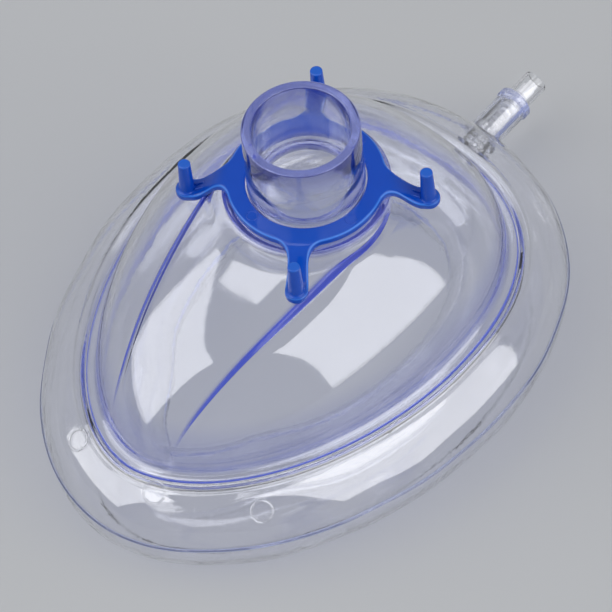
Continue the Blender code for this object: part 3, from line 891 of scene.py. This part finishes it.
def flash_length():
    """Ragged edge of the inner weld: short all round, with longer bursts."""
    draws = np.random.default_rng(FLASH_SEED).random(CUSHION_COLUMNS // FLASH_SPACING)
    places = np.arange(CUSHION_COLUMNS) / FLASH_SPACING
    bursts = np.interp(places, np.arange(len(draws)), draws, period=len(draws))
    return FLASH_LENGTH + FLASH_BURST * np.clip(bursts - FLASH_BURST_START, 0, 1) ** FLASH_BURST_POWER


def turned_rows(profile, centre_x, count):
    """Circles of a profile's (radius, height) points round an upright axis."""
    turns = np.arange(count) / count * 2 * math.pi
    radii, heights = np.transpose(profile)[..., None]
    return np.stack(
        [centre_x + radii * np.cos(turns), radii * np.sin(turns), heights + 0 * turns], axis=-1
    )


def turned(name, profile, joined=True):
    """Turn a profile about the valve's axis. It starts at the tip and runs down its outer side."""
    rows = turned_rows(profile, 0.0, TURNED_COLUMNS)
    laid = np.stack([rows[..., 0], rows[..., 2] + AXIS_Y, VALVE_Z - rows[..., 1]], axis=-1)
    return skin(name, laid, joined=joined)


def combine(target, tool, operation):
    modifier = target.modifiers.new(tool.name, "BOOLEAN")
    modifier.operation = operation
    modifier.solver = "EXACT"
    modifier.object = tool


def make_mould_marks(material):
    """Round marks of the mould's pins, as thin raised lines on the upper side of the cushion."""
    spine = raised_to(SPINE.point(SPINE.even_turns(SPINE_SAMPLES)), VALVE_Z)
    points = []
    outwards = []
    for x, y in MOULD_MARKS:
        nearest = spine[np.argmin(np.hypot(spine[:, 0] - x, spine[:, 1] - y))]
        out = np.array([x, y, 0]) - nearest
        out[2] = math.sqrt(CUSHION_RADIUS ** 2 - out[0] ** 2 - out[1] ** 2)
        points.append(nearest + out)
        outwards.append(out / CUSHION_RADIUS)
    seeds = bpy.data.meshes.new("mould_marks")
    seeds.from_pydata([tuple(point) for point in points], [], [])
    seeds.attributes.new("outward", "FLOAT_VECTOR", "POINT").data.foreach_set(
        "vector", np.array(outwards, dtype=np.float32).ravel()
    )
    growth = Growth("mould_marks", {"Radius": MOULD_MARK_RADIUS, "Line": MOULD_MARK_LINE})
    mark = growth.wire(growth.circle("Radius", 64), "Line", 8)
    outward = growth.node("InputNamedAttribute", {"data_type": "FLOAT_VECTOR"}, {"Name": "outward"})
    facing = growth.node("FunctionNodeAlignRotationToVector", {"axis": "Z"}, {"Vector": outward})
    return growth.grow(growth.copies(growth.seeds(), mark, facing), material, seeds)


def make_cushion():
    material = clear_film()
    cushion = add_piece("cushion_film", skin("cushion_film", cushion_rows(0.0, True)), material)
    bore = HOUSING_RADIUS + CLEARANCE
    outer = bore + NECK_WALL
    flare = outer + NECK_FLARE
    foot = CUSHION_CHIN - FILM / 2
    neck_profile = rounded([
        (bore / 2, NECK_END, 0),
        (flare, NECK_END, NECK_LIP_ROUND),
        (flare, NECK_END - NECK_FLARE_LENGTH, NECK_LIP_ROUND),
        (outer, NECK_END - NECK_FLARE_LENGTH - NECK_FLARE, SOFT_EDGE),
        (outer, foot + NECK_FOOT, NECK_FOOT_FLARE),
        (outer + NECK_FOOT_FLARE, foot - NECK_OVERLAP, 0),
        (bore / 2, foot - NECK_OVERLAP, 0),
    ])
    bore_profile = [
        (bore / 2, NECK_END + bore),
        (bore, NECK_END + bore),
        (bore, NECK_END),
        (bore, CUSHION_CHIN - CUSHION_RADIUS / 2),
        (bore / 2, CUSHION_CHIN - CUSHION_RADIUS / 2),
    ]
    tools = [
        ("UNION", turned("neck", neck_profile, joined=False)),
        ("DIFFERENCE", skin("cavity", cushion_rows(FILM, False))),
        ("DIFFERENCE", turned("neck_bore", bore_profile, joined=False)),
    ]
    helpers = []
    for operation, mesh in tools:
        helper = add_piece(mesh.name, mesh, material)
        combine(cushion, helper, operation)
        helpers.append(helper)
    settled(cushion)
    for helper in helpers:
        bpy.data.objects.remove(helper, do_unlink=True)
    cushion.data.shade_smooth()
    cushion.data.set_sharp_from_angle(angle=math.radians(40))
    return [cushion, make_mould_marks(material)]


# Hook ring


def arm_top(reach):
    """Height of the upper face at a distance from the connector's axis: a soft S down to the post."""
    end = POST_CIRCLE_RADIUS - ARM_TIP_RADIUS / 2
    return RING_TOP - ARM_DROP * smooth_step((reach - RING_OUTER_RADIUS) / (end - RING_OUTER_RADIUS))


def arc_points(x, y, radius, first, last, count):
    angles = np.linspace(first, last, count)
    return np.stack([x + radius * np.cos(angles), y + radius * np.sin(angles)], axis=-1)


def half_hook_outline():
    """Outline of the ring and one arm, from midway between two arms to the arm's tip."""
    half = ARM_HALF_WIDTH
    fillet = ARM_ROOT_FILLET
    root = math.sqrt((RING_OUTER_RADIUS + fillet) ** 2 - (half + fillet) ** 2)
    lean = math.atan2(half + fillet, root)
    end = POST_CIRCLE_RADIUS
    share = np.linspace(0, 1, ARM_POINTS)[1:-1]
    side = half + smooth_step(share) * (ARM_TIP_RADIUS - half)
    return np.concatenate([
        arc_points(0, 0, RING_OUTER_RADIUS, math.pi / HOOK_COUNT, lean, RING_POINTS)[:-1],
        arc_points(root, half + fillet, fillet, math.pi + lean, 1.5 * math.pi, ROOT_POINTS),
        np.stack([root + (end - root) * share, side], axis=-1),
        arc_points(end, 0, ARM_TIP_RADIUS, math.pi / 2, 0, ARM_POINTS),
    ])


def hook_outline():
    half = half_hook_outline()
    mirrored = half[-2:0:-1] * (1, -1)
    arm = np.concatenate([half, mirrored])[::-1]
    outline = []
    for index in range(HOOK_COUNT):
        turn = HOOK_TURN + 2 * math.pi * index / HOOK_COUNT
        spin = np.array([[math.cos(turn), math.sin(turn)], [-math.sin(turn), math.cos(turn)]])
        outline.append(arm @ spin)
    return np.concatenate(outline)


def make_hook_plate(material):
    """Skin of the ring and arms: over the top, down the edge, back below and up the bore."""
    outline = hook_outline()
    along = np.roll(outline, -1, axis=0) - np.roll(outline, 1, axis=0)
    outward = unit(np.stack([along[:, 1], -along[:, 0]], axis=-1))
    inner_radius = CONNECTOR_RADIUS + CLEARANCE
    edge = RING_EDGE_ROUND
    directions = unit(outline)
    rows = []
    painted_glows = []

    def add(plan, below, painted_glow=0.0):
        reach = np.linalg.norm(plan, axis=1)
        rows.append(raised_to(plan, arm_top(reach) - below))
        painted_glows.append(np.full(len(plan), painted_glow))

    # Painted highlight: the rounded edges above and below get a lighter blue, strongest midway round each
    # round
    angles = np.linspace(0, math.pi / 2, EDGE_ROWS)
    rounds = [
        (edge * (1 - math.sin(angle)), edge * (1 - math.cos(angle)), abs(math.sin(2 * angle)) ** 3)
        for angle in angles
    ]
    inset = outline - outward * edge
    start = directions * (inner_radius + edge)
    for share in np.linspace(0, 1, PLATE_ROWS)[:-1]:
        add(start + (inset - start) * share, 0)
    for gap, below, painted_glow in rounds:
        add(outline - outward * gap, below, painted_glow)
    for gap, below, painted_glow in reversed(rounds):
        add(outline - outward * gap, RING_THICKNESS - below, painted_glow)
    for share in np.linspace(1, 0, PLATE_ROWS)[1:]:
        add(start + (inset - start) * share, RING_THICKNESS)
    for gap, below, _ in rounds[1:]:
        add(directions * (inner_radius + gap), RING_THICKNESS - below)
    for gap, below, _ in reversed(rounds[1:]):
        add(directions * (inner_radius + gap), below)
    return add_piece("hook_plate", skin("hook_plate", rows, tint=painted_glows), material)


def grown_around_axis(name, mesh, material, first_turn):
    """Copies of one mesh, set evenly round the connector's axis, as one piece."""
    growth = Growth(name, {"Count": HOOK_COUNT, "First turn": first_turn, "Axis": AXIS_Y})
    count = growth.size("Count")
    points = growth.node("MeshLine", sockets={"Count": count, "Offset": (0.0, 0.0, 0.0)})
    turn = growth.node("InputIndex") / count * (2 * math.pi) + growth.size("First turn")
    facing = growth.node("ShaderNodeCombineXYZ", sockets={"Z": turn})
    copies = growth.copies(points, growth.seeds(), facing)
    return growth.grow(growth.moved(copies, y=growth.size("Axis")), material, mesh)


def joined_mesh(name, parts):
    """One mesh out of several lofts, each with its own end caps."""
    points = []
    faces = []
    for rows in parts:
        mesh = skin(name, rows, joined=False)
        base = len(points)
        points += [vertex.co[:] for vertex in mesh.vertices]
        faces += [[base + corner for corner in face.vertices] for face in mesh.polygons]
        bpy.data.meshes.remove(mesh)
    mesh = bpy.data.meshes.new(name)
    mesh.from_pydata(points, [], faces)
    return mesh


def post_and_ribs():
    """One post at +X, with the two small ribs that run from it towards the ring."""
    floor = RING_TOP - ARM_DROP
    profile = rounded([
        (POLE, POST_TOP - POST_DISH, 0),
        (POST_TOP_RADIUS * 0.75, POST_TOP, POST_DISH_ROUND),
        (POST_TOP_RADIUS, POST_TOP - POST_DISH, POST_TOP_ROUND),
        (POST_BASE_RADIUS, floor, POST_FOOT_FILLET),
        (POST_BASE_RADIUS + POST_FOOT_FILLET * 1.2, floor - POST_SINK, 0),
        (POST_BASE_RADIUS, floor - POST_ROOT, 0),
        (POLE, floor - POST_ROOT, 0),
    ])
    parts = [turned_rows(profile, POST_CIRCLE_RADIUS, POST_COLUMNS)]
    half = RIB_HALF_WIDTH
    for y in (-RIB_GAP, RIB_GAP):
        rows = []
        for share in np.linspace(0, 1, RIB_ROWS):
            x = POST_CIRCLE_RADIUS - POST_BASE_RADIUS - RIB_LENGTH * (1 - share)
            top = arm_top(x) + RIB_RISE * smooth_step(share * 3)
            foot = arm_top(x) - RIB_RISE
            rows.append([
                (x, y - half, foot),
                (x, y - half, top - half),
                (x, y - half / 2, top),
                (x, y + half / 2, top),
                (x, y + half, top - half),
                (x, y + half, foot),
            ])
        parts.append(rows)
    return joined_mesh("post_and_ribs", parts)


def ejector_mark():
    """Thin raised circle that a mould's pin leaves, at +X on the ring's upper face."""
    middle = (CONNECTOR_RADIUS + RING_OUTER_RADIUS) / 2
    line = EJECTOR_LINE
    profile = [
        (EJECTOR_RADIUS - line, RING_TOP - line),
        (EJECTOR_RADIUS - line / 2, RING_TOP + line * 0.5),
        (EJECTOR_RADIUS + line / 2, RING_TOP + line * 0.5),
        (EJECTOR_RADIUS + line, RING_TOP - line),
    ]
    return skin("ejector_mark", turned_rows(profile, middle, EJECTOR_COLUMNS))


def make_hook_ring():
    material = ring_blue()
    return [
        make_hook_plate(material),
        grown_around_axis("hook_posts", post_and_ribs(), material, HOOK_TURN),
        grown_around_axis("ejector_marks", ejector_mark(), material, HOOK_TURN + math.pi / HOOK_COUNT),
    ]


# Inflation valve


def make_valve():
    """The valve's pieces, by the nodes that they replace."""
    edge = MOULDED_EDGE
    clear = clear_valve()
    housing = turned("valve_tube", rounded([
        (LUER_MOUTH_RADIUS, VALVE_TIP, edge),
        (HOUSING_RADIUS, VALVE_TIP, SOFT_EDGE),
        (HOUSING_RADIUS, HOUSING_END, edge),
        (CHAMBER_RADIUS, HOUSING_END, edge),
        (CHAMBER_RADIUS, SEAT_UNDERSIDE, edge),
        (SEAT_BORE_RADIUS, SEAT_UNDERSIDE, edge),
        (SEAT_BORE_RADIUS, SEAT_TOP, edge),
        (LUER_ROOT_RADIUS, SEAT_TOP, edge),
    ]))
    head_top = VALVE_TIP - PLUNGER_RECESS
    head_end = head_top - PLUNGER_HEAD_LENGTH
    foot_end = FOOT_TOP - PLUNGER_FOOT_THICKNESS
    plunger = turned("plunger_body", rounded([
        (POLE, head_top - PLUNGER_DISH, 0),
        (PLUNGER_STUB_RADIUS * 0.5, head_top - PLUNGER_DISH, edge),
        (PLUNGER_STUB_RADIUS * 0.6, head_top, edge),
        (PLUNGER_STUB_RADIUS, head_top, PLUNGER_ROUND),
        (PLUNGER_STUB_RADIUS, head_top - PLUNGER_STUB_LENGTH, edge),
        (PLUNGER_HEAD_RADIUS, head_top - PLUNGER_STUB_LENGTH, PLUNGER_ROUND),
        (PLUNGER_HEAD_RADIUS, head_end, edge),
        (PLUNGER_STEM_RADIUS, head_end, edge),
        (PLUNGER_STEM_RADIUS, FOOT_TOP, edge),
        (PLUNGER_FOOT_RADIUS, FOOT_TOP, edge),
        (PLUNGER_FOOT_RADIUS, foot_end, edge),
        (POLE, foot_end, 0),
    ]), joined=False)
    seal_hole = PLUNGER_STEM_RADIUS + CLEARANCE
    slack = CHAMBER_RADIUS - CLEARANCE
    seal = turned("seal_disc", rounded([
        (seal_hole, SEAL_TOP, edge),
        (slack, SEAL_TOP, SOFT_EDGE),
        (slack, SEAL_TOP - SEAL_THICKNESS, SOFT_EDGE),
        (seal_hole, SEAL_TOP - SEAL_THICKNESS, edge),
    ]))
    cap_end = RETAINER_CAP_TOP - RETAINER_CAP_THICKNESS
    retainer = turned("retainer_cap", rounded([
        (RETAINER_VENT_RADIUS, RETAINER_PLUG_TOP, edge),
        (slack, RETAINER_PLUG_TOP, edge),
        (slack, RETAINER_CAP_TOP, edge / 2),
        (HOUSING_RADIUS, RETAINER_CAP_TOP, edge),
        (HOUSING_RADIUS, cap_end, SOFT_EDGE),
        (RETAINER_VENT_RADIUS, cap_end, edge),
    ]))
    return {
        "valve_housing": add_piece("valve_tube", housing, clear),
        "valve_plunger": add_piece("plunger_body", plunger, plunger_white()),
        "valve_seal": add_piece("seal_disc", seal, seal_grey()),
        "valve_retainer": add_piece("retainer_cap", retainer, clear),
        "valve_spring": make_spring(),
    }


def make_spring():
    growth = Growth("spring_coil", {
        "Turns": float(SPRING_TURNS),
        "Coil radius": SPRING_RADIUS,
        "Wire radius": SPRING_WIRE_RADIUS,
        "Length": SPRING_LENGTH - 2 * SPRING_WIRE_RADIUS,
        "Middle Y": SPRING_TOP - SPRING_LENGTH / 2 + AXIS_Y,
        "Middle Z": VALVE_Z,
    })
    coil = growth.node("CurveSpiral", sockets={
        "Resolution": 32,
        "Rotations": growth.size("Turns"),
        "Start Radius": growth.size("Coil radius"),
        "End Radius": growth.size("Coil radius"),
        "Height": growth.size("Length"),
    })
    centred = growth.moved(growth.wire(coil, "Wire radius", 12), z=growth.size("Length") * -0.5)
    along_valve = (-math.pi / 2, 0.0, 0.0)
    middle_y, middle_z = growth.size("Middle Y"), growth.size("Middle Z")
    laid = growth.moved(centred, y=middle_y, z=middle_z, turn=along_valve)
    return growth.grow(laid, spring_steel())


# Finishes


def see_through(finish, base, roughness, normal, lets_through, depth=None, line=None):
    """Clear plastic. Shadow and diffuse rays pass straight through, so its shadow is soft and pale."""
    body = finish.node("BsdfPrincipled", sockets={
        "Base Color": base,
        "Roughness": roughness,
        "Normal": normal,
        "IOR": 1.5,
        "Transmission Weight": 1.0,
        "Coat Weight": 1.0,
        "Coat IOR": 1.6,
        "Coat Roughness": 0.02,
    })
    # A line mixes in an opaque blue shader as painted glow
    if line:
        share, line_colour = line
        edge = finish.node("BsdfPrincipled", sockets={
            "Base Color": line_colour,
            "Roughness": 0.16,
            "Normal": normal,
        })
        body = finish.node("MixShader", sockets={0: share, 1: body, 2: edge})
    passing = finish.node("BsdfTransparent", sockets={"Color": lets_through})
    shadow = finish.node("LightPath", out="Is Shadow Ray")
    diffuse = finish.node("LightPath", out="Is Diffuse Ray")
    shader = finish.node("MixShader", sockets={0: shadow.or_more(diffuse), 1: body, 2: passing})
    volume = None
    if depth:
        deep_colour, density = depth
        volume = finish.node("VolumeAbsorption", sockets={"Color": deep_colour, "Density": density})
    return finish.surface(shader, volume)


def clear_shell():
    finish = Finish("clear_shell")
    # Painted glow: where the attribute marks the edges, the base turns blue and an opaque blue line is
    # mixed in
    tint = finish.tint()
    base = finish.blend(tint, (0.97, 0.975, 0.995), (0.40, 0.48, 0.95))
    roughness = 0.012 + 0.02 * finish.noise(180, detail=3)
    ripple = finish.noise(260) + 0.15 * finish.noise(1900)
    normal = finish.bump(ripple, 0.08, 0.0004)
    # The painted glow line is a brighter blue near the flange
    low = finish.ramp(finish.coordinate(2), FLANGE_TOP + LOW_LINE_HEIGHT, FLANGE_TOP)
    line_colour = finish.blend(low, (0.05, 0.08, 0.55), (0.09, 0.14, 0.74))
    lets_through = (0.95, 0.955, 0.98)
    depth = ((0.30, 0.42, 1.0), 26.0)
    return see_through(finish, base, roughness, normal, lets_through, depth, (tint * 0.85, line_colour))


def clear_film():
    """The film has a painted bluish glow along its parting seam and where the neck flares."""
    finish = Finish("clear_film")
    off_seam = (finish.coordinate(2) - BEAD_Z) / (1.2 * BEAD_HALF_WIDTH)
    seam = (-1.0 * off_seam * off_seam).exp()
    base = finish.blend(seam * 0.6, (0.98, 0.98, 0.985), (0.42, 0.48, 0.92))
    roughness = 0.02 + 0.04 * finish.noise(120, detail=4)
    ripple = finish.noise(140, detail=3) + 0.2 * finish.noise(900)
    normal = finish.bump(ripple, 0.16, 0.0006)
    flare_start = NECK_END - NECK_FLARE_LENGTH - NECK_FLARE + AXIS_Y
    flare = finish.ramp(finish.coordinate(1), flare_start - NECK_FLARE, flare_start + NECK_FLARE)
    lets_through = (0.96, 0.962, 0.98)
    depth = ((0.4, 0.5, 1.0), 35.0)
    line = (seam * 0.5 + flare * 0.25, (0.40, 0.46, 0.80))
    return see_through(finish, base, roughness, normal, lets_through, depth, line)


def clear_valve():
    finish = Finish("clear_valve")
    base = (0.97, 0.975, 0.99)
    roughness = 0.02 + 0.04 * finish.noise(400)
    normal = finish.bump(finish.noise(900), 0.04, 0.0001)
    return see_through(finish, base, roughness, normal, (0.97, 0.975, 0.985))


def solid_finish(name, pale, deep, grain, rough, rise, more=None, painted_glow=None):
    """Opaque finish with a faint mottle and grain, and a painted highlight colour at its marked edges and
    post tops.
    """
    finish = Finish(name)
    base = finish.blend(finish.noise(grain / 6, detail=3), deep, pale)
    if painted_glow:
        # Painted highlight: the post tops and the marked edges are painted a lighter colour
        at_top = finish.ramp(finish.coordinate(2), POST_TOP - POST_PAINTED_HIGHLIGHT_DEPTH, POST_TOP)
        base = finish.blend((finish.tint() * 0.9).or_more(at_top * 0.3), base, painted_glow)
    fine = finish.noise(grain, detail=3)
    sockets = {
        "Base Color": base,
        "Roughness": rough + 0.06 * (fine - 0.5),
        "Normal": finish.bump(fine, rise, 0.0001),
    }
    sockets.update(more or {})
    return finish.surface(finish.node("BsdfPrincipled", sockets=sockets))


def ring_blue():
    pale = (0.002, 0.076, 0.53)
    deep = (0.002, 0.066, 0.48)
    gloss = {"Specular IOR Level": 0.2, "Coat Weight": 0.4, "Coat Roughness": 0.04}
    # Painted highlight colour for the ring's edges and post tops
    painted_glow = (0.045, 0.24, 0.84)
    return solid_finish("ring_blue", pale, deep, 1500, 0.18, 0.03, gloss, painted_glow)


def plunger_white():
    pale = (0.93, 0.93, 0.94)
    deep = (0.89, 0.89, 0.91)
    return solid_finish("plunger_white", pale, deep, 2500, 0.4, 0.1)


def seal_grey():
    pale = (0.72, 0.73, 0.75)
    deep = (0.64, 0.65, 0.68)
    return solid_finish("seal_grey", pale, deep, 3000, 0.55, 0.15)


def spring_steel():
    pale = (0.66, 0.66, 0.68)
    deep = (0.52, 0.52, 0.55)
    return solid_finish("spring_steel", pale, deep, 3500, 0.28, 0.1, {"Metallic": 1.0})


# Stage, lamps and camera


def make_floor():
    finish = Finish("pale_floor")
    base = finish.blend(finish.noise(8), (0.52, 0.53, 0.545), (0.55, 0.56, 0.575))
    shader = finish.node("BsdfPrincipled", sockets={
        "Base Color": base,
        "Roughness": 0.8,
        "Specular IOR Level": 0.2,
    })
    material = finish.surface(shader)
    mesh = bpy.data.meshes.new("floor")
    corners = ((-1, -1), (1, -1), (1, 1), (-1, 1))
    points = [(x * FLOOR_HALF_WIDTH, y * FLOOR_HALF_WIDTH, -FLOOR_GAP) for x, y in corners]
    mesh.from_pydata(points, [], [(0, 1, 2, 3)])
    floor = add_piece("floor", mesh, material)


def make_world():
    """Dim studio light, with a pale backdrop where the camera, gloss or clear plastic shows it."""
    world = bpy.data.worlds.new("studio")
    bpy.context.scene.world = world
    world.use_nodes = True
    studio = Nodes(world.node_tree)
    seen = studio.node("LightPath", out="Is Camera Ray")
    for also in ("Is Glossy Ray", "Is Transmission Ray"):
        seen = seen.or_more(studio.node("LightPath", out=also))
    shown = studio.blend(seen, STUDIO_COLOUR, BACKDROP_COLOUR)
    background = studio.tree.nodes["Background"]
    studio.tree.links.new(shown.socket, background.inputs["Color"])


def add_softbox(name, direction, width, height):
    """A rectangular softbox that faces the mask from a direction."""
    light = bpy.data.lights.new(name, "AREA")
    light.shape = "RECTANGLE"
    light.size = width
    light.size_y = height
    light.energy = SOFTBOX_RADIANCE * math.pi * width * height
    lamp = bpy.data.objects.new(name, light)
    bpy.context.scene.collection.objects.link(lamp)
    away = Vector(direction).normalized()
    lamp.location = away * SOFTBOX_DISTANCE
    lamp.rotation_euler = away.to_track_quat("Z", "Y").to_euler()
    lamp.visible_camera = False


def light_the_stage():
    for name, (direction, width, height) in SOFTBOXES.items():
        add_softbox(name, direction, width, height)


def place_camera():
    back = Vector((
        math.sin(VIEW_AZIMUTH) * math.cos(VIEW_ELEVATION),
        -math.cos(VIEW_AZIMUTH) * math.cos(VIEW_ELEVATION),
        math.sin(VIEW_ELEVATION),
    ))
    right = Vector((math.cos(VIEW_AZIMUTH), math.sin(VIEW_AZIMUTH), 0))
    upright = back.cross(right)
    picture_up = upright * math.cos(VIEW_ROLL) + right * math.sin(VIEW_ROLL)
    ring_centre = Vector((0, AXIS_Y, RING_TOP))
    place = ring_centre + back * VIEW_DISTANCE
    facing = (place - (ring_centre - picture_up * VIEW_DROP)).normalized()
    across = picture_up.cross(facing).normalized()
    lens = bpy.data.cameras.new("camera")
    lens.sensor_width = 36.0
    lens.lens = lens.sensor_width * VIEW_DISTANCE / VIEW_WIDTH
    lens.clip_start = 0.1
    lens.clip_end = 20.0
    camera = bpy.data.objects.new("camera", lens)
    bpy.context.scene.collection.objects.link(camera)
    turn = Matrix((across, facing.cross(across), facing)).transposed()
    camera.matrix_world = Matrix.Translation(place) @ turn.to_4x4()
    bpy.context.scene.camera = camera


def dress_the_mask():
    shell = make_shell()
    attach(shell, "mask")
    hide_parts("shell")
    for piece in make_cushion():
        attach(piece, "mask")
        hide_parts("air_cushion")
    for piece in make_hook_ring():
        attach(piece, "mask")
        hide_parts("hook_ring")
    for node, piece in make_valve().items():
        moving = node in ("valve_plunger", "valve_seal")
        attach(piece, "plunger" if moving else "mask")
        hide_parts(node)
        if node == "valve_spring":
            foot = (0, SPRING_TOP - SPRING_LENGTH + AXIS_Y, VALVE_Z)
            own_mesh(piece)


bpy.context.scene.view_settings.view_transform = "Standard"
bpy.context.scene.cycles.max_bounces = 32
bpy.context.scene.cycles.transmission_bounces = 32
bpy.context.scene.cycles.transparent_max_bounces = 48
place_camera()
make_floor()
make_world()
light_the_stage()
dress_the_mask()
